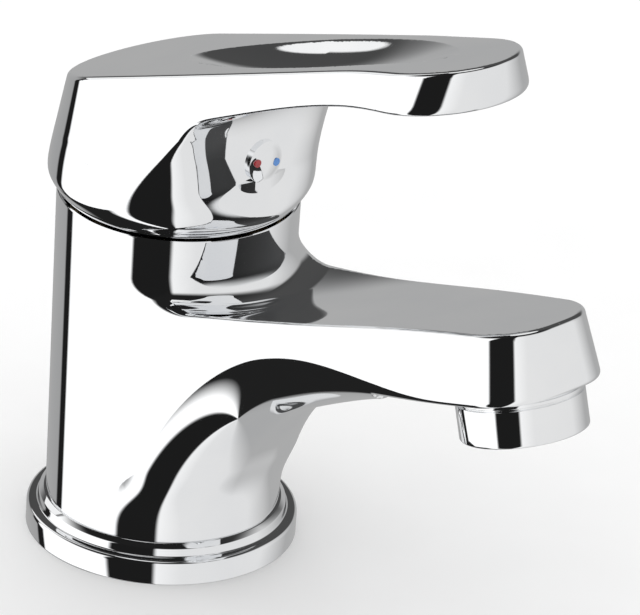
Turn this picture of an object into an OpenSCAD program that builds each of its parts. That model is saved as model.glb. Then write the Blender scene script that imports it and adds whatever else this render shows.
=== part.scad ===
// Single-lever basin mixer tap, assembled from separate pieces.
// Units are millimetres. +Z is up, the spout points along -Y, +X is the cold side.
// The origin is the centre of the base's underside, on the deck.

/* [Show] */
// Piece to draw

/* [Base] */
// Outer radius of the base ring
ring_r = 26.5; // [25:0.1:28]
// Height of the base ring's outer wall
ring_wall_h = 4.9; // [4:0.1:6]
// Height of the ring's inner lip, where the column sits
ring_h = 7.5; // [6:0.1:9]
// Outer radius of the lip's foot
ring_lip_foot_r = 24.4; // [24:0.1:25]
// Outer radius of the lip's top
ring_lip_top_r = 23.4; // [23:0.1:24]
// Radius of the column's locating spigot
spigot_r = 20.3; // [18:0.1:21]
// Depth of the seal in the ring's underside
seal_h = 1.6; // [1:0.1:2]

/* [Column] */
// Column radius at its foot
column_foot_r = 22.9; // [22:0.1:24]
// Column radius at its rim
column_rim_r = 23.6; // [22:0.1:25]
// Height of the column's rim
column_h = 72.3; // [70:0.1:75]
// Radius of the cartridge bore
cartridge_bore_r = 20.2; // [19:0.1:21]
// Height of the cartridge bore's floor
bore_floor_z = 44; // [42:0.5:46]

/* [Spout] */
// Height of the spout's top plane, carried back to the column axis
spout_top_z = 55.3; // [54:0.1:57]
// Rise of the spout's top per millimetre of reach
spout_rise = 0.282; // [0.25:0.001:0.3]
// Reach of the spout's front face at its top
spout_top_reach = 99.5; // [95:0.1:102]
// Reach of the spout's front face at its bottom
spout_low_reach = 108; // [103:0.1:110]
// Height of the underside at the tip
spout_low_z = 69.8; // [68:0.1:71]
// Rise of the underside per millimetre of reach
underside_rise = 0.224; // [0.2:0.001:0.25]
// Radius of the arch between column and underside
arch_r = 40; // [35:0.5:45]
// Half width of the spout at the column axis
spout_half_root = 21.5; // [20:0.1:22]
// Half width of the spout at mid length
spout_half_mid = 15.4; // [15:0.1:17]
// Half width of the spout at the tip
spout_half_tip = 14; // [13:0.1:15]
// Radius of the tip's corners in plan
tip_corner_r = 9; // [6:0.5:12]

/* [Aerator] */
// Reach of the outlet centre
outlet_reach = 96.1; // [94:0.1:98]
// Height of the outlet centre
outlet_z = 59.2; // [58:0.1:61]
// Forward tilt of the aerator in degrees
aerator_tilt = 16; // [12:0.5:18]
// Outer radius of the aerator housing
aerator_r = 12.3; // [12:0.1:12.6]
// Height of the visible sleeve
aerator_sleeve_h = 8.3; // [7:0.1:9]
// Radius of the screwed collar
aerator_thread_r = 11.5; // [11:0.1:12]
// Bore of the aerator housing
aerator_bore_r = 10.2; // [9:0.1:10.6]

/* [Lever] */
// Height of the lever's pivot
pivot_z = 91; // [90:0.5:92]
// Radius of the skirt's spherical lower band
band_r = 29.5; // [29:0.1:30]
// Height of the skirt's lower edge
skirt_low_z = 72.6; // [72.4:0.1:73]
// Height of the crease above the band
crease_z = 76; // [75:0.1:78]
// Radius of the skirt at its widest
skirt_mid_r = 26.1; // [25.8:0.1:27]
// Height of the skirt's widest point
skirt_mid_z = 86; // [84:0.5:88]
// Height of the lever's top plane on the column axis
lever_top_z = 101; // [100:0.1:104]
// Rise of the lever's top per millimetre of reach
lever_rise = 0.36; // [0.3:0.001:0.4]
// Reach of the lever's tip
lever_reach = 85.5; // [82:0.5:92]
// Half width of the lever over the column
lever_half_root = 19.5; // [18:0.1:21]
// Half width of the lever before its rounded tip
lever_half_tip = 13; // [12:0.1:14]
// Thickness of the lever at its tip
lever_tip_t = 6.4; // [5:0.1:8]
// Depth of the dish in the lever's top
dish_depth = 2.6; // [1:0.1:3.5]
// Reach of the flattened front of the boss, behind the indicator
boss_front = 22.6; // [21:0.1:25]

/* [Indicator] */
// Radius of the indicator plug
plug_r = 4.2; // [3:0.1:5]
// Height of the indicator plug
plug_z = 86.9; // [84:0.1:89]
// Radius of each colour mark
mark_r = 0.8; // [0.5:0.05:1]

/* [Cartridge] */
// Outer radius of the cartridge
cartridge_r = 19.8; // [19:0.1:20]
// Radius of the fixed ceramic disc
fixed_disc_r = 16.5; // [15:0.1:17]
// Radius of the moving ceramic disc
moving_disc_r = 11.5; // [10:0.1:12]
// Distance of the moving disc behind the axis at rest
disc_back = 4.5; // [4:0.1:5]
// Radius of the supply ports
port_r = 3.4; // [3:0.1:4]
// Half distance between hot and cold ports
port_x = 9; // [8:0.1:10]

/* [Inlets] */
// Wall radius of the threaded hose inlets
inlet_r = 4.5; // [4:0.05:5]
// Threaded length of the hose inlets
inlet_len = 12; // [8:0.5:15]
// Wall radius of the fixing stud's threaded hole
stud_r = 3.4; // [3:0.05:4]
// Threaded depth of the fixing stud's hole
stud_len = 16; // [10:0.5:20]
// Distance of the stud's hole from the axis
stud_y = 11.5; // [8:0.1:13]
// Distance of the hose inlets behind the axis
inlet_y = 4; // [2:0.1:6]

/* [Hidden] */
$fn = 96;
cut = 0.5;
fit = 0.05;
lever_angle = atan(lever_rise);
spout_angle = atan(spout_rise);
under_angle = atan(underside_rise);
seal_in_r = 22.6;
seal_out_r = 24.9;
ring_foot_bevel = 0.4;
ring_edge_bevel = 0.8;
lip_slope = 0.2;
lip_bevel = 1;
clearance = 0.3;
relief = 0.02;

// Column and seat
seat_r = 29.85;
arch_s = column_foot_r + clearance + arch_r;
arch_z = spout_low_z + underside_rise * (arch_s - spout_low_reach) - arch_r / cos(under_angle);
tip_circle_s = spout_low_reach + clearance - tip_corner_r;
tip_circle_x = spout_half_tip - tip_corner_r;
mid_s = 60;
root_s = 30;
root_half = 19;
root_fillet_s = 31.5;
root_fillet_z = 68;
root_overlap = 1;

// Aerator, in its own tilted frame measured up from the outlet
aer_top = aerator_sleeve_h;
aer_thread_top = 11.6;
aer_socket_top = 12;
aer_chamber_r = 8.6;
aer_chamber_top = 15;
aer_land_r = 22;
aer_groove_z = 7.2;
aer_groove_h = 0.4;
aer_groove_d = 0.4;
aer_bevel = 0.5;
aer_lip_h = 1;
aer_lip_r = 9.4;
insert_top = 8.4;
screen_h = 0.6;
aer_seal_h = 1.2;
cell_r = 1.05;
cell_pitch = 2.6;
cell_reach = 7.9;
cell_rows = 3;
screen_step = 60;
screen_last = 300;

// Waterways
way_overrun = 1.4;
way_drop_r = 3.3;
way_turn_r = 2.7;
way_rise_r = 2.8;
way_spout_r = 2.95;
seat_fn = 72;
way_outlet_s = 10;
way_low_z = 29.5;
way_turn_s = 18;
way_turn_z = 30;
way_knee_s = 33;
way_knee_z = 57;
way_end_s = 92.5;
way_end_z = 73;

// Front outline of the spout, measured down from its sloping top
draft_wide = 30;
draft_low = -2;
draft_top_x = 24;
draft_tip_h = -16;
draft_tip_x = 14.8;
draft_foot_h = -60;
draft_foot_x = 9;

// Cartridge stack, heights
base_z = bore_floor_z;
base_h = 3;
port_seal_r = 4.9;
port_seal_h = 1.1;
fixed_z = base_z + base_h;
fixed_h = 2.6;
moving_z = fixed_z + fixed_h + fit;
moving_h = 2.5;
pocket_r = 6;
pocket_h = 1.4;
pocket_s = 0.5;
carrier_z = moving_z + moving_h;
carrier_h = 2.6;
post_r = 5;
post_top = 66.4;
ball_r = 3.1;
ball_z = 64;
ball_socket_r = 3.2;
ball_socket_floor = 1.5;
flange_z = carrier_z + carrier_h + clearance;
flange_h = 2.2;
flange_r = 17.2;
housing_in_r = 17.5;
shoulder_z = flange_z + flange_h + clearance;
shoulder_h = 2.3;
shoulder_r = 12.5;
nut_z = shoulder_z + shoulder_h;
nut_top = 64.3;
nut_r = 20.1;
nut_hole_r = 13.2;
nut_slots = 6;
nut_slot_w = 3;
nut_slot_in_r = 16;
nut_slot_floor = 1.5;

// Turret
neck_r = 12;
neck_top = 70;
throat_r = 9;
throat_top = 78;
post_slot_x = 5.6;
post_slot_s = 4.9;
post_slot_top = 68;
arm_slot_x = 4.2;
arm_slot_s = 6.8;
cheek_x = 8;
cheek_s = 5.5;
cheek_top_r = 4.6;
pin_r = 1.6;
pin_hole_r = 1.65;
pin_x = 7.9;

// Lever spindle
block_x = 3.7;
block_s = 5;
block_low = 84.5;
block_top = 98;
arm_r = 2.2;
arm_root = 3;
arm_lean = atan(disc_back / (pivot_z - ball_z));
arm_len = (pivot_z - ball_z) / cos(arm_lean);

// Lever
cavity_in_r = 27.5;
cavity_r = 23.3;
cavity_low_top = 84;
core_r = 12.2;
core_top = 96;
screw_r = 2.5;
screw_front = 17.5;
screw_key_r = 1.3;
screw_key_h = 3;
plug_seat = 18;
plug_h = 5.2;
plug_bevel = 0.6;
plug_face = plug_seat + plug_h + plug_bevel;
mark_x = 2.5;
mark_turn = 11.4;
mark_sink = 0.6;
tip_s = lever_reach - lever_half_tip;
lever_mid_s = 25;
lever_long_s = 66;
lever_long_half = 14;
shoulder_low_s = 16;
shoulder_low_z = 94.6;
lever_root_extra = 0.6;
lever_end = lever_reach + 1;
lever_under_s = 55;
big = 200;
dish_back_r = 9.5;
dish_back_s = 16.5;
dish_front_r = 9;
dish_front_s = 66;
lever_top_r = 21.5;
lever_top_edge_z = 108;
boss_shoulder_r = 24.7;
boss_shoulder_z = 97.6;
boss_front_low = 79;
crown_z = 114;
crown_r = 14;

function sphere_r(radius, z) = sqrt(radius * radius - (pivot_z - z) * (pivot_z - z));
function lever_z(s) = lever_top_z + lever_rise * s;
function spout_z(s) = spout_top_z + spout_rise * s;

chrome = [0.80, 0.81, 0.83];
rubber = [0.08, 0.08, 0.08];
ceramic = [0.92, 0.91, 0.88];
white_plastic = [0.86, 0.86, 0.84];
grey_plastic = [0.45, 0.46, 0.48];
brass = [0.78, 0.62, 0.32];
steel = [0.62, 0.63, 0.65];
red = [0.72, 0.06, 0.08];
blue = [0.20, 0.45, 0.85];

// A side profile: first value is the reach, second the height
module side(points, width) {
  rotate([90, 0, -90])
    linear_extrude(width, center = true)
      polygon(points);
}

// Places children at a reach and height on the centre plane
module at(s, z, x = 0) {
  translate([x, -s, z])
    children();
}

// A round waterway between two points of the centre plane, run on a little at both ends
module waterway(s1, z1, s2, z2, r) {
  length = norm([s2 - s1, z2 - z1]);
  at(s1, z1)
    rotate([90 - atan2(z2 - z1, s2 - s1), 0, 0])
      translate([0, 0, -way_overrun])
        cylinder(h = length + 2 * way_overrun, r = r);
}

// Places children in the aerator's tilted frame
module outlet_frame() {
  at(outlet_reach, outlet_z)
    rotate([-aerator_tilt, 0, 0])
      children();
}

module ring_of(z, h, outer, inner) {
  translate([0, 0, z])
    difference() {
      cylinder(h = h, r = outer);
      translate([0, 0, -cut])
        cylinder(h = h + 2 * cut, r = inner);
    }
}

module spout_plan() {
  polygon([[0, -spout_half_root], [root_s, -root_half], [mid_s, -spout_half_mid],
           [tip_circle_s, -spout_half_tip], [tip_circle_s, spout_half_tip],
           [mid_s, spout_half_mid], [root_s, root_half], [0, spout_half_root]]);
  translate([tip_circle_s, -tip_circle_x])
    circle(tip_corner_r);
  translate([tip_circle_s, tip_circle_x])
    circle(tip_corner_r);
  translate([tip_circle_s - tip_corner_r, -tip_circle_x])
    square([2 * tip_corner_r, 2 * tip_circle_x]);
}

module spout() {
  low_s = arch_s - arch_r * sin(under_angle);
  low_z = spout_low_z + underside_rise * (low_s - spout_low_reach);
  intersection() {
    rotate([0, 0, -90])
      linear_extrude(big)
        spout_plan();
    at(0, spout_top_z)
      rotate([90 - spout_angle, 0, 0])
        linear_extrude(big)
          polygon([[-draft_foot_x, draft_foot_h], [draft_foot_x, draft_foot_h],
                   [draft_tip_x, draft_tip_h], [draft_top_x, draft_low],
                   [draft_top_x, draft_wide], [-draft_top_x, draft_wide],
                   [-draft_top_x, draft_low], [-draft_tip_x, draft_tip_h]]);
    difference() {
      side([[0, arch_z], [arch_s, arch_z], [low_s, low_z], [spout_low_reach, spout_low_z],
            [spout_top_reach, spout_z(spout_top_reach)], [root_fillet_s, spout_z(root_fillet_s)],
            [column_foot_r - root_overlap, root_fillet_z], [0, root_fillet_z]], big);
      at(arch_s, arch_z)
        rotate([0, 90, 0])
          cylinder(h = big, r = arch_r, center = true);
    }
  }
}

module body() {
  color(chrome)
    difference() {
      union() {
        cylinder(h = ring_h + cut, r = spigot_r);
        translate([0, 0, ring_h])
          cylinder(h = column_h - ring_h, r1 = column_foot_r, r2 = column_rim_r);
        spout();
      }
      translate([0, 0, pivot_z])
        sphere(seat_r, $fn = seat_fn);
      translate([0, 0, bore_floor_z])
        cylinder(h = big, r = cartridge_bore_r);
      for (x = [-port_x, port_x])
        translate([x, inlet_y, -cut]) {
          cylinder(h = inlet_len + cut, r = inlet_r);
          cylinder(h = bore_floor_z + 2 * cut, r = port_r);
        }
      translate([0, stud_y, -cut])
        cylinder(h = stud_len + cut, r = stud_r);
      at(way_outlet_s, way_low_z - way_drop_r)
        cylinder(h = bore_floor_z - way_low_z + way_drop_r + cut, r = way_drop_r);
      waterway(way_outlet_s, way_low_z, way_turn_s, way_turn_z, way_turn_r);
      waterway(way_turn_s, way_turn_z, way_knee_s, way_knee_z, way_rise_r);
      waterway(way_knee_s, way_knee_z, way_end_s, way_end_z, way_spout_r);
      outlet_frame() {
        translate([0, 0, -cut])
          cylinder(h = aer_socket_top + cut, r = aerator_thread_r + fit);
        translate([0, 0, -cut])
          cylinder(h = aer_top + cut, r = aer_land_r);
        translate([0, 0, aer_socket_top - cut])
          cylinder(h = aer_chamber_top - aer_socket_top + cut, r = aer_chamber_r);
      }
    }
}

module base_ring() {
  color(chrome)
    difference() {
      rotate_extrude()
        polygon([[spigot_r + fit, 0], [ring_r - ring_foot_bevel, 0], [ring_r, ring_foot_bevel],
                 [ring_r, ring_wall_h - ring_edge_bevel], [ring_r - ring_foot_bevel, ring_wall_h],
                 [ring_lip_foot_r, ring_wall_h + lip_slope],
                 [ring_lip_foot_r - lip_slope, ring_h - lip_bevel],
                 [ring_lip_top_r, ring_h], [spigot_r + fit, ring_h]]);
      ring_of(-cut, seal_h + cut, seal_out_r, seal_in_r);
    }
}

module base_seal() {
  color(rubber)
    ring_of(0, seal_h, seal_out_r, seal_in_r);
}

module cartridge_base() {
  color(grey_plastic)
    difference() {
      translate([0, 0, base_z])
        cylinder(h = base_h, r = cartridge_r);
      for (x = [-port_x, port_x])
        translate([x, inlet_y, base_z - cut]) {
          cylinder(h = big, r = port_r);
          cylinder(h = port_seal_h + cut, r = port_seal_r);
        }
      at(way_outlet_s, base_z - cut) {
        cylinder(h = big, r = port_r);
        cylinder(h = port_seal_h + cut, r = port_seal_r);
      }
    }
}

module port_seals() {
  color(rubber) {
    for (x = [-port_x, port_x])
      translate([x, inlet_y, 0])
        ring_of(base_z, port_seal_h, port_seal_r, port_r);
    at(way_outlet_s, 0)
      ring_of(base_z, port_seal_h, port_seal_r, port_r);
  }
}

module fixed_disc() {
  color(ceramic)
    difference() {
      translate([0, 0, fixed_z])
        cylinder(h = fixed_h, r = fixed_disc_r);
      for (x = [-port_x, port_x])
        translate([x, inlet_y, fixed_z - cut])
          cylinder(h = big, r = port_r);
      at(way_outlet_s, fixed_z - cut)
        cylinder(h = big, r = port_r);
    }
}

module cartridge_housing() {
  color(white_plastic) {
    difference() {
      translate([0, 0, fixed_z])
        cylinder(h = nut_z - fixed_z, r = cartridge_r);
      translate([0, 0, fixed_z - cut])
        cylinder(h = shoulder_z - fixed_z + cut, r = housing_in_r);
      translate([0, 0, fixed_z])
        cylinder(h = big, r = shoulder_r);
    }
    ring_of(fixed_z, fixed_h, housing_in_r + cut, fixed_disc_r + fit);
  }
}

module cartridge_nut() {
  color(brass)
    difference() {
      ring_of(nut_z, nut_top - nut_z, nut_r, nut_hole_r);
      for (i = [0 : nut_slots - 1])
        rotate([0, 0, i * 360 / nut_slots])
          translate([nut_slot_in_r, -nut_slot_w / 2, nut_z + nut_slot_floor])
            cube([nut_r, nut_slot_w, big]);
    }
}

module aerator_housing() {
  color(chrome)
    outlet_frame()
      rotate_extrude()
        polygon([[aer_lip_r, 0], [aerator_r - aer_bevel, 0], [aerator_r, aer_bevel],
                 [aerator_r, aer_groove_z], [aerator_r - aer_groove_d, aer_groove_z],
                 [aerator_r - aer_groove_d, aer_groove_z + aer_groove_h],
                 [aerator_r, aer_groove_z + aer_groove_h], [aerator_r, aer_top],
                 [aerator_thread_r, aer_top], [aerator_thread_r, aer_thread_top - aer_seal_h],
                 [aerator_bore_r, aer_thread_top - aer_seal_h], [aerator_bore_r, aer_lip_h],
                 [aer_lip_r, aer_lip_h]]);
}

module aerator_insert() {
  color(white_plastic)
    outlet_frame()
      difference() {
        translate([0, 0, aer_lip_h])
          cylinder(h = insert_top - aer_lip_h, r = aerator_bore_r - fit);
        for (i = [-cell_rows : cell_rows])
          for (j = [-cell_rows : cell_rows])
            if (norm([(i + j / 2) * cell_pitch, j * cell_pitch * sqrt(3) / 2]) < cell_reach)
              translate([(i + j / 2) * cell_pitch, j * cell_pitch * sqrt(3) / 2, 0])
                cylinder(h = big, r = cell_r, $fn = 6);
      }
}

module aerator_screen() {
  color(steel)
    outlet_frame()
      difference() {
        translate([0, 0, insert_top])
          cylinder(h = screen_h, r = aerator_bore_r - fit);
        for (a = [0 : screen_step : screen_last])
          rotate([0, 0, a])
            translate([cell_reach / 2, 0, 0])
              cylinder(h = big, r = cell_r);
        cylinder(h = big, r = cell_r);
      }
}

module aerator_seal() {
  color(rubber)
    outlet_frame()
      ring_of(aer_thread_top - aer_seal_h, aer_seal_h, aerator_thread_r, aer_chamber_r);
}

module moving_disc() {
  color(ceramic)
    at(-disc_back, moving_z)
      difference() {
        cylinder(h = moving_h, r = moving_disc_r);
        at(pocket_s, -cut)
          cylinder(h = pocket_h + cut, r = pocket_r);
      }
}

module disc_carrier() {
  color(grey_plastic)
    at(-disc_back, carrier_z)
      difference() {
        union() {
          cylinder(h = carrier_h, r = moving_disc_r);
          cylinder(h = post_top - carrier_z, r = post_r);
        }
        translate([0, 0, ball_z - ball_r - ball_socket_floor - carrier_z])
          cylinder(h = big, r = ball_socket_r);
      }
}

module turret() {
  color(white_plastic)
    difference() {
      union() {
        translate([0, 0, flange_z])
          cylinder(h = flange_h, r = flange_r);
        translate([0, 0, flange_z])
          cylinder(h = neck_top - flange_z, r = neck_r);
        translate([0, 0, neck_top - cut])
          cylinder(h = throat_top - neck_top + cut, r = throat_r);
        translate([-cheek_x, -cheek_s, throat_top - cut])
          cube([2 * cheek_x, 2 * cheek_s, pivot_z - throat_top + cut]);
        translate([-cheek_x, 0, pivot_z])
          rotate([0, 90, 0])
            cylinder(h = 2 * cheek_x, r = cheek_top_r);
      }
      for (s = [-post_slot_s, post_slot_s])
        at(s, flange_z - cut)
          cylinder(h = post_slot_top - flange_z + cut, r = post_slot_x);
      translate([-post_slot_x, -post_slot_s, flange_z - cut])
        cube([2 * post_slot_x, 2 * post_slot_s, post_slot_top - flange_z + cut]);
      translate([-arm_slot_x, -arm_slot_s, flange_z])
        cube([2 * arm_slot_x, 2 * arm_slot_s, big]);
      translate([-arm_slot_x, -big / 2, throat_top])
        cube([2 * arm_slot_x, big, big]);
      translate([0, 0, pivot_z])
        rotate([0, 90, 0])
          cylinder(h = big, r = pin_hole_r, center = true);
    }
}

module lever_plan() {
  polygon([[0, -lever_half_root], [lever_mid_s, -lever_half_root], [lever_long_s, -lever_long_half],
           [tip_s, -lever_half_tip], [tip_s, lever_half_tip], [lever_long_s, lever_long_half],
           [lever_mid_s, lever_half_root], [0, lever_half_root]]);
  translate([tip_s, 0])
    circle(lever_half_tip + relief);
}

module lever_arm() {
  intersection() {
    rotate([0, 0, -90])
      linear_extrude(big)
        lever_plan();
    side([[0, shoulder_low_z], [shoulder_low_s, shoulder_low_z],
          [lever_under_s, lever_z(lever_under_s) - lever_tip_t - lever_root_extra],
          [lever_end, lever_z(lever_end) - lever_tip_t],
          [lever_end, lever_z(lever_end)], [0, lever_top_z]], big);
  }
}

module lever_boss() {
  difference() {
    rotate_extrude()
      polygon([[0, skirt_low_z], [sphere_r(band_r, skirt_low_z), skirt_low_z],
               [sphere_r(band_r, crease_z), crease_z], [skirt_mid_r, skirt_mid_z],
               [boss_shoulder_r, boss_shoulder_z], [lever_top_r, lever_top_edge_z],
               [crown_r, crown_z], [0, crown_z]]);
    at(0, lever_top_z)
      rotate([-lever_angle, 0, 0])
        translate([-big / 2, -big / 2, 0])
          cube([big, big, big]);
    translate([-big / 2, -boss_front - big, boss_front_low])
      cube([big, big, big]);
  }
}

module dish() {
  at(0, lever_top_z)
    rotate([-lever_angle, 0, 0])
      translate([0, 0, -dish_depth])
        rotate([0, 0, -90])
          linear_extrude(big / 4) {
            translate([dish_back_s, 0])
              circle(dish_back_r);
            translate([dish_front_s, 0])
              circle(dish_front_r);
            polygon([[dish_back_s, -dish_back_r], [dish_front_s, -dish_front_r],
                     [dish_front_s, dish_front_r], [dish_back_s, dish_back_r]]);
          }
}

module handle() {
  color(chrome)
    difference() {
      union() {
        lever_boss();
        lever_arm();
      }
      dish();
      intersection() {
        translate([0, 0, pivot_z])
          sphere(cavity_in_r);
        translate([0, 0, skirt_low_z - big / 4])
          cylinder(h = cavity_low_top - skirt_low_z + big / 4, r = cavity_r);
      }
      translate([0, 0, cavity_low_top - cut])
        cylinder(h = core_top - cavity_low_top + cut, r = core_r);
      translate([-block_x - fit, -block_s - fit, core_top - cut])
        cube([2 * (block_x + fit), 2 * (block_s + fit), block_top + fit - core_top + cut]);
      at(0, plug_z)
        rotate([90, 0, 0])
          cylinder(h = big, r = screw_r);
      at(plug_seat, plug_z)
        rotate([90, 0, 0])
          cylinder(h = big, r = plug_r + fit);
    }
}

module lever_spindle() {
  color(steel)
    difference() {
      union() {
        translate([-block_x, -block_s, block_low])
          cube([2 * block_x, 2 * block_s, block_top - block_low]);
        at(0, pivot_z)
          rotate([arm_lean, 0, 0])
            translate([0, 0, -arm_len])
              cylinder(h = arm_len - arm_root, r = arm_r);
        at(-disc_back, ball_z)
          sphere(ball_r);
      }
      translate([0, 0, pivot_z])
        rotate([0, 90, 0])
          cylinder(h = big, r = pin_r + relief, center = true);
    }
}

module pivot_pin() {
  color(steel)
    translate([-pin_x, 0, pivot_z])
      rotate([0, 90, 0])
        cylinder(h = 2 * pin_x, r = pin_r);
}

module handle_screw() {
  color(steel)
    at(block_s + fit, plug_z)
      rotate([90, 0, 0])
        difference() {
          cylinder(h = screw_front - block_s, r = screw_r - relief);
          translate([0, 0, screw_front - block_s - screw_key_h])
            cylinder(h = screw_key_h + cut, r = screw_key_r, $fn = 6);
        }
}

module indicator_plug() {
  color(chrome)
    difference() {
      at(plug_seat, plug_z)
        rotate([90, 0, 0])
          rotate_extrude()
            polygon([[0, 0], [plug_r, 0], [plug_r, plug_h],
                     [plug_r - plug_bevel, plug_h + plug_bevel], [0, plug_h + plug_bevel]]);
      for (x = [-mark_x, mark_x])
        mark(x, big);
    }
}

// A colour mark's disc, in the face of the plug
module mark(x, h) {
  at(plug_face - mark_sink, plug_z)
    rotate([90, mark_turn, 0])
      translate([x, 0, 0])
        cylinder(h = h, r = mark_r);
}

module hot_mark() {
  color(red)
    mark(-mark_x, mark_sink);
}

module cold_mark() {
  color(blue)
    mark(mark_x, mark_sink);
}

body();
base_ring();
base_seal();
cartridge_base();
port_seals();
fixed_disc();
cartridge_housing();
cartridge_nut();
aerator_housing();
aerator_insert();
aerator_screen();
aerator_seal();
moving_disc();
disc_carrier();
turret();
handle();
lever_spindle();
pivot_pin();
handle_screw();
indicator_plug();
hot_mark();
cold_mark();
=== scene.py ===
import itertools
import math

import bmesh
import bpy
import numpy as np
from mathutils import Matrix, Vector


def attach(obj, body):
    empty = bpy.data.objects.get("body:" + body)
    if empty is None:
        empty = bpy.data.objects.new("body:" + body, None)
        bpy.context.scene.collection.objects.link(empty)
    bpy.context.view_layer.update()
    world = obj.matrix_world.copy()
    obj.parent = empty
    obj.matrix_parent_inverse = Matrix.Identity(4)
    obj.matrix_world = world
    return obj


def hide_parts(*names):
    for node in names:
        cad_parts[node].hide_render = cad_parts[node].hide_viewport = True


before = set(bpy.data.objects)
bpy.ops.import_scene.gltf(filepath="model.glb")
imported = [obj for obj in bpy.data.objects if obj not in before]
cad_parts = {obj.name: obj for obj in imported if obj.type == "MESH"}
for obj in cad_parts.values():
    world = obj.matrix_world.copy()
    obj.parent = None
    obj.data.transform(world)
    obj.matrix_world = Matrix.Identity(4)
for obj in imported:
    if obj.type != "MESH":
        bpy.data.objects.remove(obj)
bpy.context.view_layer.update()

# ---------------------------------------------------------------- driving sizes, millimetres
# s is the reach from the column axis towards the spout (row -Y), p runs across (row +X), z is up.

MM = 0.001

COLUMN_FOOT_R = 22.9
COLUMN_RIM_R = 23.6
FOOT_Z = 7.5
RIM_Z = 72.3
SPIGOT_R = 20.3
BORE_R = 20.2
BORE_FLOOR_Z = 44.0
SEAT_LOW_Z = 69.2
GAP = 0.02
PIVOT_Z = 91.0
SEAT_R = 29.85

SPOUT_TOP_Z = 55.3
SPOUT_RISE = 0.282
UNDER_Z = 66.8
UNDER_S = 91.5
UNDER_RISE = 0.3
BELLY_Z = 45.9
BELLY_S = 47.2
BELLY_RISE = 0.58
ARCH_ROUND = 19.0
ARCH_WALL = 23.0
TANGENT_S = 5.6
SIDE_END = 11.0
SIDE_LENGTH = 48.0
TIP_TOP_S = 103.2
TIP_LEAN = 0.3
TIP_CROWN_R = 60.0
TIP_CORNER_R = 10.0
ROOT_ROUND = 15.0
EDGE_ROUND = 1.2
TOP_EDGE = 0.9
LEDGE_ROUND = 7.0
EDGE_FROM_S = 38.0
EDGE_TO_S = 92.0
FOOT_FROM_Z = 9.0
FOOT_TO_Z = 24.0
LAND_FROM_S = 70.0
LAND_ROUND = 1.2
LEDGE_FROM_S = 0.0
LEDGE_TO_S = 16.0
DIP = 2.1
DIP_FROM_S = 28.0
DIP_TO_S = 94.0
TIP_LIFT = 0.1
LIFT_FROM_S = 75.0
LIFT_TO_S = 102.0
SCOOP = 2.4
SCOOP_HALF = 19.5
SCOOP_TAPER = 0.09
SCOOP_FROM_S = 20.0
SCOOP_TO_S = 74.0
SIDE_FLARE = 0.17
FLARE_FROM_S = 15.0
FLARE_TO_S = 85.0
BELLY_BLEND = 4.0

RING_R = 26.5
RING_WALL_H = 4.9
RING_H = 7.5

OUTLET_S = 96.1
OUTLET_Z = 59.2
OUTLET_TILT = 16.0
SLEEVE_R = 12.3
SLEEVE_H = 8.3

SKIRT_LOW_Z = 71.3
LIP_R = 28.75
LIP_TOP_Z = 73.0
BAND_R = 29.5
CREASE_Z = 76.3
CONE_R = 25.9
CONE_LEAN = 0.4
CONE_SHIFT = 0.3
BOSS_FRONT = 22.6
SIDE_TURN = 0.1
LEVER_TOP_Z = 100.8
LEVER_RISE = 0.375
LEVER_DROOP = 0.0018
LEVER_DROOP_S = 50.0
LEVER_TIP_S = 83.6
LEVER_END_S = 69.5
ROOT_UNDER_S = 20.0
ROOT_UNDER_Z = 98.6
ROOT_UNDER_RISE = 0.485
TIP_UNDER_S = 57.0
TIP_UNDER_Z = 116.1
TIP_UNDER_RISE = 0.2
UNDER_BLEND = 7.0
WAIST_CURVE = 0.0004
TIP_WIDER = 1.2
WIDER_FROM_S = 56.0
WIDER_TO_S = 76.0
LEAST_HALF = 2.0
TIP_SPREAD = 0.1
LEAN_SCALE = 0.93
ARM_SCALE = 0.9
DISH_DEPTH = 4.8
DISH_MID_S = 40.0
DISH_BACK = 38.0
DISH_FRONT = 31.0
DISH_HALF = 11.4
DISH_WIDE_S = 30.0
DISH_TAPER = 0.03
DISH_PLAN = 2.4
DISH_WALL = 1.2
BOSS_R = 26.0
BOSS_FLARE = 0.0085
BOSS_FLARE_Z = 77.0
BOSS_FLARE_MAX = 3.0
TOE = 3.4
TOE_LOW_Z = 75.0
TOE_TOP_Z = 84.0
BROW_CURVE = 0.02
BROW_Z = 90.0
FRONT_ROUND = 6.0
BOSS_TOP_ROUND = 2.5
ARM_ROUND = 5.0
SIDE_ROUND = 2.0
TOP_ROUND = 0.7
BAND_ROUND = 0.9
CAVITY_R = 23.3
CAVITY_IN_R = 27.5
CAVITY_TOP_Z = 84.0
CORE_R = 12.2
CORE_TOP_Z = 95.4
TURNED_R = 28.0

PLUG_Z = 86.9
PLUG_FRONT_S = 23.8
PLUG_R = 4.2
PLUG_CROWN_R = 13.0
PLUG_CROWN = 0.3
PLUG_DEPTH = 5.5


# A field value that stands for well inside.
DEEP = -20.0

# Meshing: grid steps in millimetres, rounds of evening out, and where edges are split.
BODY_STEP = 0.75
HANDLE_STEP = 0.65
RELAX_ROUNDS = 4
REFINE_ROUNDS = 2
REFINE_TURN = 9.0
REFINE_SHORTEST = 0.3
ON_SURFACE = 0.05
FACING = 0.3
SHARP_ANGLE = 38.0


# ---------------------------------------------------------------- fields: negative inside, in millimetres


def smooth_min(a, b, width):
    """The smaller of two fields, with a smooth crossing of about that width."""
    h = np.maximum(width - np.abs(a - b), 0.0) / width
    return np.minimum(a, b) - h * h * h * width / 6.0


def smooth_max(a, b, width):
    return -smooth_min(-a, -b, width)


def round_max(a, b, radius):
    """Intersection of two fields with a rounded edge."""
    outside = np.hypot(np.maximum(a + radius, 0.0), np.maximum(b + radius, 0.0))
    return np.minimum(np.maximum(a + radius, b + radius), 0.0) + outside - radius


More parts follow.
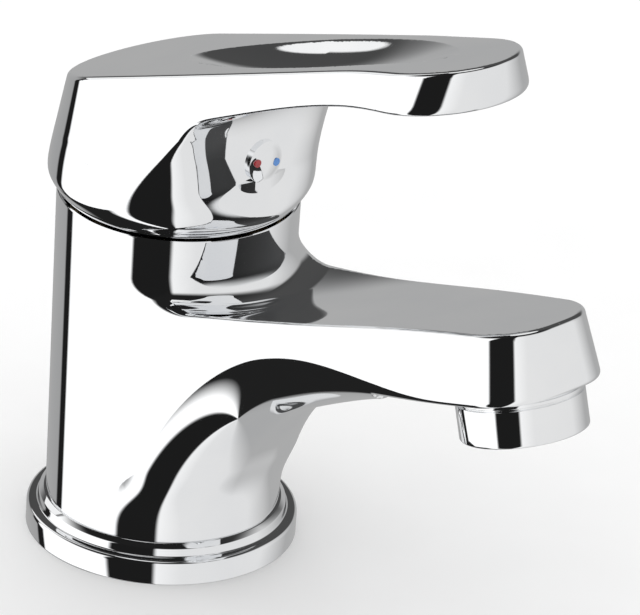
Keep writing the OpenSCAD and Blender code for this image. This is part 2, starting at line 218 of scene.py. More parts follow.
def ease(x, low, high):
    """0 below low, 1 above high, smooth between."""
    t = np.clip((x - low) / (high - low), 0.0, 1.0)
    return t * t * t * (t * (6.0 * t - 15.0) + 10.0)


def column_r(z):
    return COLUMN_FOOT_R + (COLUMN_RIM_R - COLUMN_FOOT_R) * (z - FOOT_Z) / (RIM_Z - FOOT_Z)


def spout_top(s, p):
    """The spout's top: a rising plane, lower near the column, with a scoop between its raised edges."""
    plane = SPOUT_TOP_Z + SPOUT_RISE * s - DIP * (1.0 - ease(s, DIP_FROM_S, DIP_TO_S))
    plane = plane + TIP_LIFT * ease(s, LIFT_FROM_S, LIFT_TO_S)
    half = SCOOP_HALF - SCOOP_TAPER * s
    across = np.maximum(1.0 - (p / half) ** 2, 0.0)
    return plane - SCOOP * across * (1.0 - ease(s, SCOOP_FROM_S, SCOOP_TO_S))


def spout_sides(s, p, z):
    """Plan outline of column and spout: a circle whose sides run on as tangents, tapering to the tip."""
    radius = column_r(z)
    depth = SPOUT_TOP_Z + SPOUT_RISE * s - z
    start = np.sqrt(radius * radius - TANGENT_S * TANGENT_S) - SIDE_END
    half = SIDE_END + start * np.exp(-(s - TANGENT_S) / SIDE_LENGTH)
    half = half + SIDE_FLARE * depth * ease(s, FLARE_FROM_S, FLARE_TO_S)
    straight = np.abs(p) - half
    circle = np.hypot(s, p) - radius
    return np.where(s < TANGENT_S, circle, straight)


def slope_line(s, z, at_s, at_z, rise):
    """Distance below a line that rises towards the tip."""
    return (at_z + rise * (s - at_s) - z) / math.hypot(1.0, rise)


def underside(s, z):
    """The void under the spout: the column's front, an arch, a rising belly and the flatter tip."""
    belly = slope_line(s, z, BELLY_S, BELLY_Z, BELLY_RISE)
    arch = -round_max(ARCH_WALL - s, -belly, ARCH_ROUND)
    return smooth_min(arch, slope_line(s, z, UNDER_S, UNDER_Z, UNDER_RISE), BELLY_BLEND)


def tip_front(s, p, z):
    top = SPOUT_TOP_Z + SPOUT_RISE * TIP_TOP_S
    face = TIP_TOP_S + TIP_LEAN * (top - z) - p * p / (2.0 * TIP_CROWN_R)
    return (s - face) / math.hypot(1.0, TIP_LEAN)


def outlet_axis(s, p, z):
    """Height above the outlet and radius, measured in the aerator's tilted frame."""
    tilt = math.radians(OUTLET_TILT)
    ds = s - OUTLET_S
    dz = z - OUTLET_Z
    along = -ds * math.sin(tilt) + dz * math.cos(tilt)
    across = ds * math.cos(tilt) + dz * math.sin(tilt)
    return along, np.hypot(across, p)


def body_shell(s, p, z):
    """Column and spout before the spout's top is cut."""
    plan = round_max(spout_sides(s, p, z), tip_front(s, p, z), TIP_CORNER_R)
    edge = ROOT_ROUND - (ROOT_ROUND - EDGE_ROUND) * ease(s, EDGE_FROM_S, EDGE_TO_S)
    shell = round_max(plan, underside(s, z), edge)
    foot = np.hypot(s, p) - column_r(z)
    low = 1.0 - ease(z, FOOT_FROM_Z, FOOT_TO_Z)
    shell = shell * (1.0 - low) + foot * low
    along, _ = outlet_axis(s, p, z)
    land = np.where(s > LAND_FROM_S, SLEEVE_H - along, DEEP)
    return smooth_max(shell, land, LAND_ROUND)


def body_field(s, p, z):
    above = (z - spout_top(s, p)) / math.hypot(1.0, SPOUT_RISE)
    behind = TOP_EDGE * (1.0 - ease(s, LEDGE_FROM_S, LEDGE_TO_S))
    outside = np.hypot(s, p) - column_r(z) - behind
    ledge = round_max(-above, -outside, LEDGE_ROUND)
    return round_max(body_shell(s, p, z), -ledge, TOP_EDGE)


def lever_top(s):
    over = np.maximum(s - LEVER_DROOP_S, 0.0)
    return LEVER_TOP_Z + LEVER_RISE * s - LEVER_DROOP * over * over


def lever_under(s):
    root = ROOT_UNDER_Z + ROOT_UNDER_RISE * (s - ROOT_UNDER_S)
    tip = TIP_UNDER_Z + TIP_UNDER_RISE * (s - TIP_UNDER_S)
    return smooth_min(root, tip, UNDER_BLEND)


def lever_sides(s, p, z):
    """A leaning cone behind, whose sides run on as leaning planes to the rounded tip."""
    rise = z - CREASE_Z
    radius = CONE_R - CONE_LEAN * rise
    centre = -CONE_SHIFT * rise
    joint = centre - SIDE_TURN * radius
    half = radius * math.sqrt(1.0 - SIDE_TURN**2) + SIDE_TURN * (s - joint)
    half = half - WAIST_CURVE * np.maximum(s, 0.0) ** 2 + TIP_WIDER * ease(s, WIDER_FROM_S, WIDER_TO_S)
    half = np.maximum(half, LEAST_HALF)
    cone = np.hypot(s - centre, p) - radius
    straight = (np.abs(p) - half) * LEAN_SCALE
    length = LEVER_TIP_S + TIP_SPREAD * (lever_top(s) - z) - LEVER_END_S
    tip = (np.hypot((s - LEVER_END_S) * half / length, p) - half) * LEAN_SCALE
    side = np.where(s < joint, cone, straight)
    return np.where(s > LEVER_END_S, tip, side)


def dish(s, p):
    """Depth of the recess in the lever's top."""
    along = (s - DISH_MID_S) / np.where(s < DISH_MID_S, DISH_BACK, DISH_FRONT)
    half = DISH_HALF - DISH_TAPER * np.abs(s - DISH_WIDE_S)
    inside = np.maximum(1.0 - np.hypot(along, p / half) ** DISH_PLAN, 0.0)
    return DISH_DEPTH * inside**DISH_WALL


def lever_boss(s, p, z):
    """The turned mass under the lever, cut flat in front."""
    flare = np.minimum(BOSS_FLARE * np.maximum(z - BOSS_FLARE_Z, 0.0) ** 2, BOSS_FLARE_MAX)
    boss = np.hypot(s, p) - BOSS_R - flare
    toe = TOE * (1.0 - ease(z, TOE_LOW_Z, TOE_TOP_Z))
    front = BOSS_FRONT + toe + BROW_CURVE * np.maximum(z - BROW_Z, 0.0) ** 2
    boss = smooth_max(boss, s - front, FRONT_ROUND)
    return smooth_max(boss, z - lever_under(s) - 1.0, BOSS_TOP_ROUND)


def handle_field(s, p, z):
    mass = smooth_min(lever_boss(s, p, z), (lever_under(s) - z) * ARM_SCALE, ARM_ROUND)
    solid = smooth_max(mass, lever_sides(s, p, z), SIDE_ROUND)
    top = (z - lever_top(s) + dish(s, p)) * LEAN_SCALE
    solid = round_max(solid, top, TOP_ROUND)
    ball = np.sqrt(s * s + p * p + (z - PIVOT_Z) ** 2) - BAND_R
    band = np.where(z < PIVOT_Z, ball, DEEP)
    return smooth_max(solid, band, BAND_ROUND)


# ---------------------------------------------------------------- turning a field into a mesh


def gradient(field, points, step=0.02):
    """The field's slope at each point."""
    slope = np.empty_like(points)
    for axis in range(3):
        offset = np.zeros(3)
        offset[axis] = step
        ahead = field(*(points + offset).T)
        behind = field(*(points - offset).T)
        slope[:, axis] = (ahead - behind) / (2.0 * step)
    return slope


def settle(field, points, rounds):
    """Moves points straight onto the field's zero surface."""
    for _ in range(rounds):
        slope = gradient(field, points)
        size = np.maximum((slope * slope).sum(axis=1), 0.05)
        move = field(*points.T)[:, None] * slope / size[:, None]
        points = points - np.clip(move, -0.5, 0.5)
    return points


def net_points(value, inside, step, origin):
    """One point in each grid cell that the surface crosses, and the cells' numbers."""
    shape = [n - 1 for n in value.shape]
    corner = {}
    for c in itertools.product((0, 1), repeat=3):
        cut = tuple(slice(o, o + n) for o, n in zip(c, shape))
        corner[c] = (inside[cut], value[cut])
    count = sum(c[0].astype(int) for c in corner.values())
    active = (count > 0) & (count < 8)
    index = np.full(shape, -1)
    index[active] = np.arange(active.sum())
    total = np.zeros((active.sum(), 3))
    crossings = np.zeros(active.sum())
    for start in corner:
        for axis in range(3):
            if start[axis]:
                continue
            end = tuple(1 if a == axis else c for a, c in enumerate(start))
            va = corner[start][1][active]
            vb = corner[end][1][active]
            hit = (va < 0) != (vb < 0)
            place = np.repeat(np.array(start, float)[None], len(va), axis=0)
            place[:, axis] = np.where(hit, va / np.where(hit, va - vb, 1.0), 0.0)
            total += place * hit[:, None]
            crossings += hit
    return (np.argwhere(active) + total / crossings[:, None]) * step + origin, index


def net_quads(inside, index, axis):
    """A quad round each grid edge along one axis that the surface crosses, facing out."""
    shape = index.shape
    u, v = [a for a in range(3) if a != axis]
    here = [slice(1, n) for n in shape]
    here[axis] = slice(0, shape[axis])
    ahead = list(here)
    ahead[axis] = slice(1, shape[axis] + 1)
    a = inside[tuple(here)]
    b = inside[tuple(ahead)]
    ring = []
    for du, dv in ((0, 0), (1, 0), (1, 1), (0, 1)):
        part = [slice(0, n) for n in shape]
        part[u] = slice(1 - du, shape[u] - du)
        part[v] = slice(1 - dv, shape[v] - dv)
        ring.append(index[tuple(part)])
    square = np.stack(ring, axis=-1)
    flip = (a & ~b) if axis != 1 else (b & ~a)
    keep = (b & ~a) if axis != 1 else (a & ~b)
    return [square[keep], square[flip][:, ::-1]]


def surface_net(field, low, high, step):
    """Points and quads of the field's zero surface on a regular grid."""
    axes = [np.arange(a, b + step, step) for a, b in zip(low, high)]
    value = field(*np.meshgrid(*axes, indexing="ij"))
    inside = value < 0.0
    points, index = net_points(value, inside, step, np.array([a[0] for a in axes]))
    quads = [part for axis in range(3) for part in net_quads(inside, index, axis)]
    return points, np.concatenate(quads)


def relax(points, quads, rounds, field):
    """Evens out the spacing of the points and keeps them on the surface."""
    ends = np.concatenate([quads[:, [0, 1]], quads[:, [1, 2]], quads[:, [2, 3]], quads[:, [3, 0]]])
    both = np.concatenate([ends, ends[:, ::-1]])
    degree = np.bincount(both[:, 0], minlength=len(points))[:, None]
    for _ in range(rounds):
        mean = np.zeros_like(points)
        for axis in range(3):
            mean[:, axis] = np.bincount(both[:, 0], points[both[:, 1], axis], minlength=len(points))
        points = points * 0.5 + 0.5 * mean / np.maximum(degree, 1)
        points = settle(field, points, 1)
    return settle(field, points, 3)


def to_row(points):
    """From reach, across, up in millimetres to the row frame in metres."""
    return np.stack([points[:, 1], -points[:, 0], points[:, 2]], axis=1) * MM


def from_row(points):
    """From the row frame in metres to reach, across, up in millimetres."""
    return np.stack([-points[:, 1], points[:, 0], points[:, 2]], axis=1) / MM


def unit(vectors):
    return vectors / np.maximum(np.linalg.norm(vectors, axis=1), 1e-9)[:, None]


def refine(bm, field):
    """Splits edges across which the surface turns sharply, and settles the new points."""
    for _ in range(REFINE_ROUNDS):
        native = from_row(np.array([v.co[:] for v in bm.verts]))
        slope = unit(gradient(field, native))
        bm.verts.index_update()
        ends = np.array([[v.index for v in e.verts] for e in bm.edges])
        bend = (slope[ends[:, 0]] * slope[ends[:, 1]]).sum(axis=1) < math.cos(math.radians(REFINE_TURN))
        long = np.linalg.norm(native[ends[:, 0]] - native[ends[:, 1]], axis=1) > REFINE_SHORTEST
        split = [e for e, cut in zip(bm.edges, bend & long) if cut]
        bmesh.ops.subdivide_edges(bm, edges=split, cuts=1, use_grid_fill=True)
        native = from_row(np.array([v.co[:] for v in bm.verts]))
        for v, c in zip(bm.verts, to_row(settle(field, native, 3)).tolist()):
            v.co = c


def field_mesh(field, low, high, step):
    """The field's zero surface as an even, refined mesh."""
    points, quads = surface_net(field, low, high, step)
    points = relax(points, quads, RELAX_ROUNDS, field)
    bm = bmesh.new()
    verts = [bm.verts.new(c) for c in to_row(points).tolist()]
    for quad in quads.tolist():
        bm.faces.new([verts[i] for i in quad])
    refine(bm, field)
    return bm


def open_loop(bm, height):
    """Cuts the turned part beyond a level and returns the vertices round the cut, in order of angle."""
    sign = 1.0 if height > 0 else -1.0
    level = abs(height) * MM
    faces = [f for f in bm.faces if max(v.co.xy.length for v in f.verts) < TURNED_R * MM]
    edges = {e for f in faces for e in f.edges}
    verts = {v for f in faces for v in f.verts}
    geometry = faces + list(edges) + list(verts)
    bmesh.ops.bisect_plane(
        bm, geom=geometry, dist=1e-7, plane_co=(0, 0, level), plane_no=(0, 0, sign), clear_outer=True
    )
    rim = {v for e in bm.edges if e.is_boundary for v in e.verts}
    rim = [v for v in rim if abs(v.co.z - level) < 1e-6]
    return sorted(rim, key=lambda v: math.atan2(v.co.y, v.co.x))


def close_with_lathe(bm, loop, profile, outward):
    """Carries a round loop on through the profile's rings and closes it with a cap."""
    angles = [math.atan2(v.co.y, v.co.x) for v in loop]
    previous = loop
    made = []
    for radius, z in profile:
        ring = [bm.verts.new((radius * MM * math.cos(a), radius * MM * math.sin(a), z * MM)) for a in angles]
        for i in range(len(ring)):
            j = (i + 1) % len(ring)
            quad = [previous[i], previous[j], ring[j], ring[i]]
            made.append(bm.faces.new(quad if outward else quad[::-1]))
        previous = ring
    made.append(bm.faces.new(previous if outward else previous[::-1]))
    return made


def arc(centre, radius, start, end, count):
    """Points of an arc in a plane, angles in degrees."""
    turns = np.radians(np.linspace(start, end, count))
    return [(centre[0] + radius * math.cos(t), centre[1] + radius * math.sin(t)) for t in turns]


def sphere_r(radius, z):
    return math.sqrt(radius * radius - (PIVOT_Z - z) ** 2)


def finish_mesh(name, bm, material, body, replaces, field=None):
    """Makes the object, smooths it by the field's own normals, ties it to its CAD body and hides the CAD
    nodes it stands in for.
    """
    bmesh.ops.recalc_face_normals(bm, faces=bm.faces[:])
    mesh = bpy.data.meshes.new(name)
    bm.to_mesh(mesh)
    bm.free()
    obj = bpy.data.objects.new(name, mesh)
    bpy.context.scene.collection.objects.link(obj)
    mesh.materials.append(material)
    for polygon in mesh.polygons:
        polygon.use_smooth = True
    if field is None:
        mesh.set_sharp_from_angle(angle=math.radians(SHARP_ANGLE))
    else:
        shade_by_field(mesh, field)
    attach(obj, body)
    if replaces:
        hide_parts(*replaces)
    return obj


def shade_by_field(mesh, field):
    """Gives each face corner on the field's surface the field's normal, and others the face's."""
    count = len(mesh.vertices)
    place = np.empty(count * 3)
    mesh.vertices.foreach_get("co", place)
    native = from_row(place.reshape(-1, 3))
    slope = gradient(field, native)
    slope = unit(np.stack([slope[:, 1], -slope[:, 0], slope[:, 2]], axis=1))
    on = np.abs(field(*native.T)) < ON_SURFACE
    loops = len(mesh.loops)
    vertex = np.empty(loops, int)
    mesh.loops.foreach_get("vertex_index", vertex)
    flat = np.empty(len(mesh.polygons) * 3)
    mesh.polygons.foreach_get("normal", flat)
    flat = flat.reshape(-1, 3)
    sizes = np.empty(len(mesh.polygons), int)
    mesh.polygons.foreach_get("loop_total", sizes)
    face = np.repeat(np.arange(len(sizes)), sizes)
    normal = slope[vertex]
    own = flat[face]
    good = on[vertex] & ((normal * own).sum(axis=1) > FACING)
    normal = np.where(good[:, None], normal, own)
    mesh.normals_split_custom_set(normal.tolist())


def lathe(name, profile, material, body, replaces, place=None, segments=160):
    """A turned piece: a closed profile of radius and height, spun about its own axis."""
    bm = bmesh.new()
    rings = []
    for k in range(segments):
        a = 2.0 * math.pi * k / segments
        rings.append([bm.verts.new((r * MM * math.cos(a), r * MM * math.sin(a), z * MM)) for r, z in profile])
    n = len(profile)
    for k in range(segments):
        here = rings[k]
        there = rings[(k + 1) % segments]
        for i in range(n):
            j = (i + 1) % n
            bm.faces.new([here[i], there[i], there[j], here[j]])
    bmesh.ops.remove_doubles(bm, verts=bm.verts[:], dist=1e-8)
    if place is not None:
        bmesh.ops.transform(bm, matrix=place, verts=bm.verts[:])
    return finish_mesh(name, bm, material, body, replaces)


def rounded(points, steps=6):
    """A closed outline whose corners are arcs: each point is radius, height and corner radius."""
    outline = []
    total = len(points)
    for i, (x, y, corner) in enumerate(points):
        here = Vector((x, y))
        before = (Vector(points[i - 1][:2]) - here).normalized()
        after = (Vector(points[(i + 1) % total][:2]) - here).normalized()
        if corner <= 0.0:
            outline.append((x, y))
            continue
        half = before.angle(after) / 2.0
        reach = corner / math.tan(half)
        centre = here + (before + after).normalized() * (corner / math.sin(half))
        first = here + before * reach - centre
        last = here + after * reach - centre
        for k in range(steps + 1):
            mix = first.lerp(last, k / steps).normalized() * corner
            outline.append(tuple(centre + mix))
    return outline


# ---------------------------------------------------------------- materials


def new_material(name):
    material = bpy.data.materials.new(name)
    material.use_nodes = True
    tree = material.node_tree
    shader = tree.nodes["Principled BSDF"]
    return material, tree, shader


def noise(tree, scale, detail=2.0, stretch=(1.0, 1.0, 1.0)):
    where = tree.nodes.new("ShaderNodeTexCoord")
    mapping = tree.nodes.new("ShaderNodeMapping")
    mapping.inputs["Scale"].default_value = stretch
    node = tree.nodes.new("ShaderNodeTexNoise")
    node.inputs["Scale"].default_value = scale
    node.inputs["Detail"].default_value = detail
    tree.links.new(where.outputs["Object"], mapping.inputs["Vector"])
    tree.links.new(mapping.outputs["Vector"], node.inputs["Vector"])
    return node


def vary(tree, source, socket, low, high):
    span = tree.nodes.new("ShaderNodeMapRange")
    span.inputs["To Min"].default_value = low
    span.inputs["To Max"].default_value = high
    tree.links.new(source.outputs["Fac"], span.inputs["Value"])
    tree.links.new(span.outputs["Result"], socket)


def tint(tree, source, socket, dark, light):
    ramp = tree.nodes.new("ShaderNodeValToRGB")
    ramp.color_ramp.elements[0].position = 0.3
    ramp.color_ramp.elements[0].color = (*dark, 1.0)
    ramp.color_ramp.elements[1].position = 0.7
    ramp.color_ramp.elements[1].color = (*light, 1.0)
    tree.links.new(source.outputs["Fac"], ramp.inputs["Fac"])
    tree.links.new(ramp.outputs["Color"], socket)


def bump(tree, source, shader, distance, strength=1.0):
    node = tree.nodes.new("ShaderNodeBump")
    node.inputs["Distance"].default_value = distance
    node.inputs["Strength"].default_value = strength
    tree.links.new(source.outputs["Fac"], node.inputs["Height"])
    tree.links.new(node.outputs["Normal"], shader.inputs["Normal"])


def surface(name, dark, light, rough, metal, scale, depth, stretch=(1.0, 1.0, 1.0), coat=0.0):
    """A material whose colour, roughness and relief all vary a little with the same noise."""
    material, tree, shader = new_material(name)
    grain = noise(tree, scale, 4.0, stretch)
    tint(tree, grain, shader.inputs["Base Color"], dark, light)
    vary(tree, grain, shader.inputs["Roughness"], *rough)
    shader.inputs["Metallic"].default_value = metal
    shader.inputs["Coat Weight"].default_value = coat
    bump(tree, grain, shader, depth)
    return material


def chrome_material():
    """Polished chrome plate: a clear mirror with faint wiping haze."""
    material, tree, shader = new_material("chrome_plate")
    haze = noise(tree, 60.0, 3.0)
    tint(tree, haze, shader.inputs["Base Color"], (0.90, 0.91, 0.925), (0.95, 0.955, 0.96))
    vary(tree, haze, shader.inputs["Roughness"], 0.015, 0.05)
    shader.inputs["Metallic"].default_value = 1.0
    return material


CHROME = chrome_material()
RUBBER = surface("seal_rubber", (0.012, 0.012, 0.012), (0.03, 0.03, 0.03), (0.55, 0.75), 0.0, 900.0, 2e-5)
CERAMIC = surface("disc_ceramic", (0.80, 0.78, 0.74), (0.90, 0.89, 0.86), (0.12, 0.22), 0.0, 500.0, 1e-6)
WHITE = surface("white_moulding", (0.74, 0.74, 0.72), (0.84, 0.84, 0.82), (0.35, 0.5), 0.0, 700.0, 1e-5)
GREY = surface("grey_moulding", (0.14, 0.145, 0.15), (0.20, 0.205, 0.21), (0.35, 0.5), 0.0, 700.0, 1e-5)
BRASS = surface(
    "turned_brass", (0.62, 0.42, 0.16), (0.78, 0.56, 0.26), (0.18, 0.32), 1.0, 40.0, 5e-6, (1.0, 1.0, 60.0)
)
STEEL = surface(
    "turned_steel", (0.45, 0.455, 0.46), (0.62, 0.625, 0.63), (0.2, 0.34), 1.0, 50.0, 5e-6, (50.0, 1.0, 1.0)
)
RED = surface("hot_enamel", (0.36, 0.012, 0.018), (0.46, 0.02, 0.03), (0.2, 0.3), 0.0, 900.0, 2e-6, coat=0.5)
BLUE = surface("cold_enamel", (0.08, 0.27, 0.70), (0.12, 0.34, 0.80), (0.2, 0.3), 0.0, 900.0, 2e-6, coat=0.5)

NODE_MATERIALS = {
    "base_seal": RUBBER,
    "port_seals": RUBBER,
    "aerator_seal": RUBBER,
    "fixed_disc": CERAMIC,
    "moving_disc": CERAMIC,
    "cartridge_base": GREY,
    "disc_carrier": GREY,
    "cartridge_housing": WHITE,
    "turret": WHITE,
    "aerator_insert": WHITE,
    "cartridge_nut": BRASS,
    "lever_spindle": STEEL,
    "pivot_pin": STEEL,
    "handle_screw": STEEL,
    "aerator_screen": STEEL,
    "hot_mark": RED,
    "cold_mark": BLUE,
}


# ---------------------------------------------------------------- pieces


def make_body():
    step = BODY_STEP
    low = (-26.0, -26.0, FOOT_Z - 3.0)
    high = (110.0, 26.0, 86.0)
    bm = field_mesh(body_solid, low, high, step)
    rim = open_loop(bm, RIM_Z - 0.2)
    seat = [(sphere_r(SEAT_R, z), z) for z in np.linspace(RIM_Z, SEAT_LOW_Z, 8)]
    inner = [(COLUMN_RIM_R - 0.06, RIM_Z - 0.06), (sphere_r(SEAT_R, RIM_Z) + 0.08, RIM_Z)] + seat
    inner += [(BORE_R, SEAT_LOW_Z - 0.4), (BORE_R, BORE_FLOOR_Z)]
    close_with_lathe(bm, rim, inner, True)
    foot = open_loop(bm, -(FOOT_Z + GAP))
    close_with_lathe(bm, foot, [(SPIGOT_R, FOOT_Z + GAP), (SPIGOT_R, GAP)], False)
    finish_mesh("mixer_casting", bm, CHROME, "mixer_body", ["body"], body_field)


def body_solid(s, p, z):
    """The casting, closed above the rim and below the foot so that it can be cut cleanly there."""
    over = np.where(np.hypot(s, p) < TURNED_R + 4.0, z - RIM_Z - 2.0, -20.0)
    return np.maximum(body_field(s, p, z), np.maximum(over, FOOT_Z - 1.8 - z))


def handle_solid(s, p, z):
    return np.maximum(handle_field(s, p, z), SKIRT_LOW_Z - 1.6 - z)


def make_handle():
    step = HANDLE_STEP
    low = (-28.5, -28.5, SKIRT_LOW_Z - 3.0)
    high = (89.0, 28.5, 134.0)
    bm = field_mesh(handle_solid, low, high, step)
    rim = open_loop(bm, -(SKIRT_LOW_Z + 0.12))
    inner = [(sphere_r(BAND_R, SKIRT_LOW_Z) - 0.12, SKIRT_LOW_Z)]
    inner += [(sphere_r(LIP_R, z), z) for z in np.linspace(SKIRT_LOW_Z, LIP_TOP_Z, 4)]
    inner += [(sphere_r(CAVITY_IN_R, z), z) for z in np.linspace(LIP_TOP_Z + 0.4, 76.4, 5)]
    inner += [(CAVITY_R, CAVITY_TOP_Z - 0.5), (CAVITY_R - 0.5, CAVITY_TOP_Z), (CORE_R, CAVITY_TOP_Z)]
    inner += [(CORE_R, CORE_TOP_Z)]
    close_with_lathe(bm, rim, inner, False)
    finish_mesh("lever_casting", bm, CHROME, "lever", ["handle"], handle_field)


def make_ring():
    outline = rounded(
        [
            (SPIGOT_R + 0.05, 0.0, 0.0),
            (RING_R, 0.0, 0.25),
            (RING_R, RING_WALL_H, 0.9),
            (24.5, RING_WALL_H + 0.15, 0.5),
            (24.2, 6.6, 0.6),
            (23.2, RING_H, 0.4),
            (SPIGOT_R + 0.05, RING_H, 0.0),
        ]
    )
    lathe("base_collar", outline, CHROME, "mixer_body", ["base_ring"], segments=240)


def make_aerator():
    lip = 9.4
    bore = 10.2
    outline = rounded(
        [
            (lip, 0.0, 0.2),
            (SLEEVE_R, 0.0, 0.45),
            (SLEEVE_R, 7.2, 0.1),
            (SLEEVE_R - 0.4, 7.25, 0.1),
            (SLEEVE_R - 0.4, 7.55, 0.1),
            (SLEEVE_R, 7.6, 0.1),
            (SLEEVE_R, SLEEVE_H - 0.02, 0.15),
            (11.4, SLEEVE_H - 0.02, 0.0),
            (11.4, 10.4, 0.0),
            (bore, 10.4, 0.0),
            (bore, 1.0, 0.0),
            (lip, 1.0, 0.2),
        ],
        4,
    )
    tilt = Matrix.Rotation(math.radians(-OUTLET_TILT), 4, "X")
    place = Matrix.Translation((0.0, -OUTLET_S * MM, OUTLET_Z * MM)) @ tilt
    lathe("aerator_sleeve", outline, CHROME, "mixer_body", ["aerator_housing"], place, 200)


def make_plug():
    first = math.degrees(math.acos(0.88 * PLUG_R / PLUG_CROWN_R))
    crown = arc((0.0, PLUG_CROWN - PLUG_CROWN_R), PLUG_CROWN_R, first, 90.0, 10)
    outline = [(0.0, -PLUG_DEPTH), (PLUG_R, -PLUG_DEPTH), (PLUG_R, -PLUG_CROWN)] + crown
    face = Matrix.Rotation(math.radians(90.0), 4, "X")
    place = Matrix.Translation((0.0, -(PLUG_FRONT_S - 0.25) * MM, PLUG_Z * MM)) @ face
    lathe("indicator_button", outline, CHROME, "lever", ["indicator_plug"], place, 96)


make_body()
make_handle()
make_ring()
make_aerator()
make_plug()
for name, material in NODE_MATERIALS.items():
    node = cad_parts[name]
    node.data.materials.clear()
    node.data.materials.append(material)


# ---------------------------------------------------------------- studio


def make_floor():
    material, tree, shader = new_material("studio_paper")
    speck = noise(tree, 30.0, 2.0)
    tint(tree, speck, shader.inputs["Base Color"], (0.90, 0.90, 0.90), (0.92, 0.92, 0.92))
    shader.inputs["Roughness"].default_value = 0.9
    shader.inputs["Specular IOR Level"].default_value = 0.0
    mesh = bpy.data.meshes.new("floor")
    bm = bmesh.new()
    bmesh.ops.create_grid(bm, x_segments=1, y_segments=1, size=6.0)
    bm.to_mesh(mesh)
    bm.free()
    floor = bpy.data.objects.new("floor", mesh)
    bpy.context.scene.collection.objects.link(floor)
    mesh.materials.append(material)
    floor.visible_glossy = False


# Studio surround, by turn from the main viewing side in degrees: start of each band and its brightness.
MAIN_VIEW = -44.0
BANDS = (
    (-180.0, 0.42),
    (-129.0, 0.36),
    (-127.0, 0.012),
    (-118.0, 0.012),
    (-116.0, 1.15),
    (-46.0, 1.15),
    (-43.0, 0.012),
    (-5.0, 0.012),
    (-2.0, 0.95),
    (20.0, 0.80),
    (95.0, 0.78),
    (135.0, 0.42),
    (180.0, 0.42),
)

# Height of each band's upper edge, as the sine of its elevation: low behind, high at the sides and in front.
TOPS = ((-180.0, 0.05), (-122.0, 0.05), (-116.0, 0.5), (116.0, 0.5), (140.0, 0.05), (180.0, 0.05))
TOP_SOFTNESS = 0.26
# Brightness above that edge, darkest in front.
UPPER = ((-180.0, 0.07), (-128.0, 0.06), (-116.0, 0.014), (60.0, 0.014), (140.0, 0.07), (180.0, 0.07))
SOFTBOX = 0.955
SOFTBOX_TONE = 0.9
PAPER_TONE = 1.18
# A bright panel behind, to the left: its share by turn, and the sine of its lower edge's elevation.
PANEL = ((-180.0, 0.0), (-142.0, 0.0), (-141.0, 1.0), (-119.0, 1.0), (-118.0, 0.0), (180.0, 0.0))
PANEL_LOW = 0.29
PANEL_TONE = 0.95
# A dark bench below, behind and to the left: its share by turn, and the sine of its top's elevation.
BENCH = ((-180.0, 0.0), (-150.0, 0.0), (-140.0, 1.0), (-70.0, 1.0), (-60.0, 0.0), (180.0, 0.0))
BENCH_TOP = -0.56
BENCH_TONE = 0.015


def by_turn(tree, share, stops):
    """A value that runs through the stops round the full turn."""
    ramp = tree.nodes.new("ShaderNodeValToRGB")
    elements = ramp.color_ramp.elements
    elements[0].position = 0.0
    elements[1].position = 1.0
    for degrees, _ in stops[1:-1]:
        elements.new((degrees + 180.0) / 360.0)
    for element, (_, value) in zip(elements, stops):
        element.color = (value, value, value, 1.0)
    tree.links.new(share, ramp.inputs["Fac"])
    return ramp.outputs["Color"]


def blend(tree, factor, first, second):
    """The first colour where the factor is 0, the second colour or grey where it is 1."""
    node = tree.nodes.new("ShaderNodeMix")
    node.data_type = "RGBA"
    tree.links.new(factor, node.inputs["Factor"])
    tree.links.new(first, node.inputs["A"])
    if isinstance(second, float):
        node.inputs["B"].default_value = (second, second, second, 1.0)
    else:
        tree.links.new(second, node.inputs["B"])
    return node.outputs["Result"]


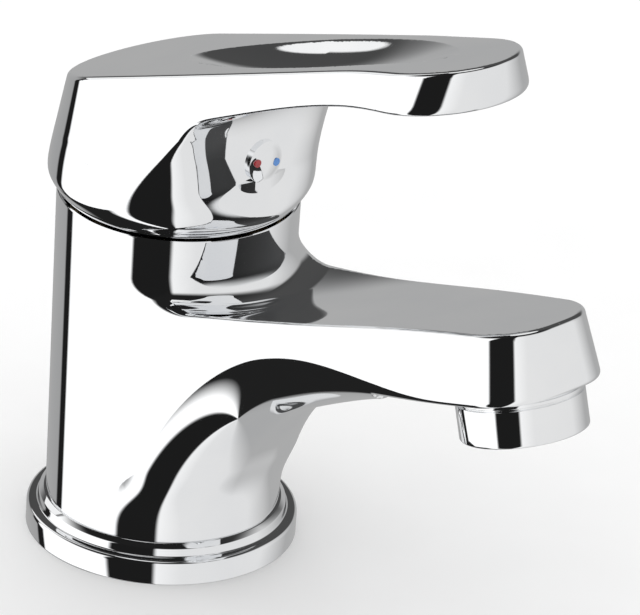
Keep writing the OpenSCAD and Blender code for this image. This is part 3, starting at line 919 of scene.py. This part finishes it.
def make_world():
    world = bpy.data.worlds.new("studio")
    world.use_nodes = True
    bpy.context.scene.world = world
    tree = world.node_tree
    tree.nodes.clear()
    links = tree.links

    def math_node(kind, first, second=None):
        node = tree.nodes.new("ShaderNodeMath")
        node.operation = kind
        for socket, value in zip(node.inputs, (first, second)):
            if value is None:
                continue
            if isinstance(value, float):
                socket.default_value = value
            else:
                links.new(value, socket)
        return node.outputs[0]

    where = tree.nodes.new("ShaderNodeTexCoord")
    turn = tree.nodes.new("ShaderNodeMapping")
    turn.inputs["Rotation"].default_value = (0.0, 0.0, math.radians(-MAIN_VIEW))
    links.new(where.outputs["Generated"], turn.inputs["Vector"])
    axes = tree.nodes.new("ShaderNodeSeparateXYZ")
    links.new(turn.outputs["Vector"], axes.inputs["Vector"])
    angle = math_node("ARCTAN2", axes.outputs["X"], math_node("MULTIPLY", axes.outputs["Y"], -1.0))
    share = math_node("ADD", math_node("DIVIDE", angle, 2.0 * math.pi), 0.5)
    height = axes.outputs["Z"]

    def ring(stops):
        return by_turn(tree, share, stops)

    fade = tree.nodes.new("ShaderNodeMapRange")
    fade.interpolation_type = "SMOOTHSTEP"
    fade.inputs["From Max"].default_value = TOP_SOFTNESS
    links.new(math_node("SUBTRACT", height, ring(TOPS)), fade.inputs["Value"])
    walls = blend(tree, fade.outputs["Result"], ring(BANDS), ring(UPPER))
    overhead = blend(tree, math_node("GREATER_THAN", height, SOFTBOX), walls, SOFTBOX_TONE)
    high = math_node("GREATER_THAN", height, PANEL_LOW)
    lit = blend(tree, math_node("MULTIPLY", high, ring(PANEL)), overhead, PANEL_TONE)
    low = math_node("LESS_THAN", height, BENCH_TOP)
    studio = blend(tree, math_node("MULTIPLY", low, ring(BENCH)), lit, BENCH_TONE)

    path = tree.nodes.new("ShaderNodeLightPath")
    plain = math_node("MAXIMUM", path.outputs["Is Camera Ray"], path.outputs["Is Diffuse Ray"])
    back = tree.nodes.new("ShaderNodeBackground")
    links.new(blend(tree, plain, studio, PAPER_TONE), back.inputs["Color"])
    out = tree.nodes.new("ShaderNodeOutputWorld")
    links.new(back.outputs["Background"], out.inputs["Surface"])


SENSOR_W = 36.0
LENS = 484.5
CAMERA_BACK = 1.5
CAMERA_UP = 0.78069
CAMERA_YAW = 1.09
CAMERA_PITCH = 26.01
CAMERA_ROLL = 3.63


def make_camera():
    camera = bpy.data.cameras.new("camera")
    camera.sensor_width = SENSOR_W
    camera.lens = LENS
    camera.dof.use_dof = False
    obj = bpy.data.objects.new("camera", camera)
    bpy.context.scene.collection.objects.link(obj)
    yaw = math.radians(CAMERA_YAW)
    pitch = math.radians(CAMERA_PITCH)
    roll = math.radians(CAMERA_ROLL)
    forward = Vector((math.sin(yaw) * math.cos(pitch), math.cos(yaw) * math.cos(pitch), -math.sin(pitch)))
    level = Vector((math.cos(yaw), -math.sin(yaw), 0.0))
    upright = level.cross(forward)
    right = level * math.cos(roll) + upright * math.sin(roll)
    up = upright * math.cos(roll) - level * math.sin(roll)
    basis = Matrix((right, up, -forward)).transposed().to_4x4()
    place = Matrix.Translation((0.0, -CAMERA_BACK, CAMERA_UP)) @ basis
    obj.matrix_world = Matrix.Rotation(math.radians(MAIN_VIEW), 4, "Z") @ place
    bpy.context.scene.camera = obj


make_floor()
make_world()
make_camera()
view = bpy.context.scene.view_settings
view.view_transform = "Standard"
view.look = "None"
